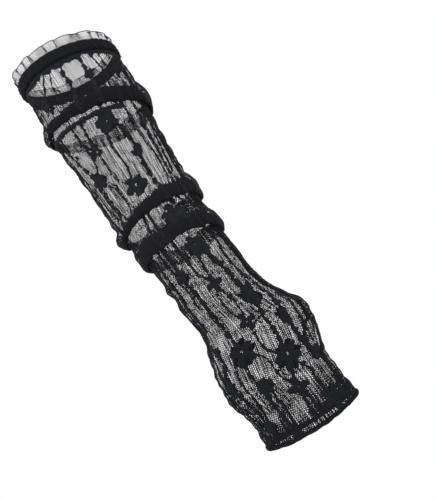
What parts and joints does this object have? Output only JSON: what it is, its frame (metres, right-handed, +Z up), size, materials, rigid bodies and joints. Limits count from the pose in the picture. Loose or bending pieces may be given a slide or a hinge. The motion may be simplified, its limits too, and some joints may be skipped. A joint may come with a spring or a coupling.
{
  "type": "long fingerless lace mitt",
  "caption": "Long fingerless mitt in black lace: frilled elastic arm opening, slouched sleeve, thumb slit in the side seam and a rolled hem at the knuckles.",
  "frame": {"origin": "centre of the arm opening, half way up the elastic band", "axes": "+Z up the forearm to the elbow, with the fingers pointing down; the back of the hand faces -Y and the thumb's side +X"},
  "size_m": [0.1072, 0.115, 0.3736],
  "materials": {
    "lace": "fine black net with raised flowers, leaves and vines",
    "elastic": "dense gathered lace over elastic",
    "sheer": "sheer black net with an overlocked edge",
    "thread": "matte black overlock thread"
  },
  "bodies": {
    "root": {"lace_sleeve": "lace", "arm_band": "elastic", "top_frill": "sheer", "finger_hem": "thread", "thumb_binding": "thread", "arm_seam": "thread", "hand_seam": "thread"}
  },
  "joints": []
}
